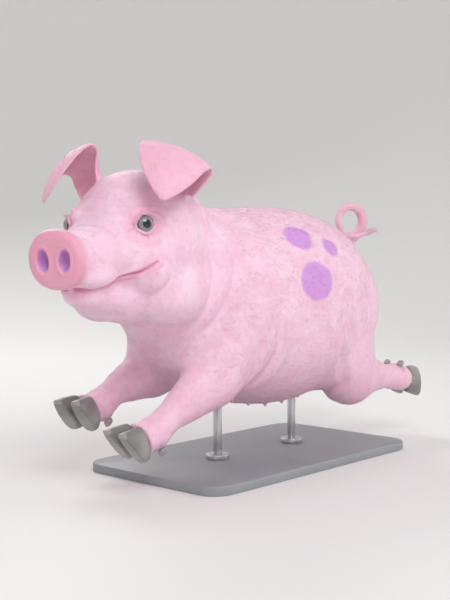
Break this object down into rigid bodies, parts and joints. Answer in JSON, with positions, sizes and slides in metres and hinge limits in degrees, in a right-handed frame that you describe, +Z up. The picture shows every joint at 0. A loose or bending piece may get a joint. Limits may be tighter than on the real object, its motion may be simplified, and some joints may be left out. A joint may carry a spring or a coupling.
{
  "type": "domestic pig",
  "caption": "Young, plump pink pig in full leap, life size, head turned to its left, folded ears and a curled tail, held by two short rods on a flat base.",
  "frame": {"origin": "centre of the display base's underside, on the floor", "axes": "-X forward along the pig's body, -Y to the pig's left, +Z up"},
  "size_m": [1.1155, 0.3683, 0.6325],
  "materials": {
    "skin": "pale pink skin with short bristles",
    "snout_skin": "bare, slightly moist pink skin",
    "hoof_horn": "grey horn, satin",
    "eye": "wet gloss, grey iris",
    "painted_base": "board, painted warm grey, satin",
    "steel": "brushed"
  },
  "bodies": {
    "root": {"torso": "skin", "head": "skin", "neck": "skin", "snout": "snout_skin", "ear_left": "skin", "ear_right": "skin", "eye_left": "eye", "eye_right": "eye", "foreleg_left": "skin", "foreleg_right": "skin", "hindleg_left": "skin", "hindleg_right": "skin", "foreleg_left_claw_outer": "hoof_horn", "foreleg_left_claw_inner": "hoof_horn", "foreleg_right_claw_outer": "hoof_horn", "foreleg_right_claw_inner": "hoof_horn", "hindleg_left_claw_outer": "hoof_horn", "hindleg_left_claw_inner": "hoof_horn", "hindleg_right_claw_outer": "hoof_horn", "hindleg_right_claw_inner": "hoof_horn", "foreleg_left_dewclaw_outer": "hoof_horn", "foreleg_left_dewclaw_inner": "hoof_horn", "foreleg_right_dewclaw_outer": "hoof_horn", "foreleg_right_dewclaw_inner": "hoof_horn", "hindleg_left_dewclaw_outer": "hoof_horn", "hindleg_left_dewclaw_inner": "hoof_horn", "hindleg_right_dewclaw_outer": "hoof_horn", "hindleg_right_dewclaw_inner": "hoof_horn", "tail_root": "skin", "tail_rise": "skin", "tail_curl": "skin", "tail_tip": "skin", "stand_base": "painted_base", "stand_rod_front": "steel", "stand_rod_rear": "steel", "stand_collar_front": "steel", "stand_collar_rear": "steel"}
  },
  "joints": []
}
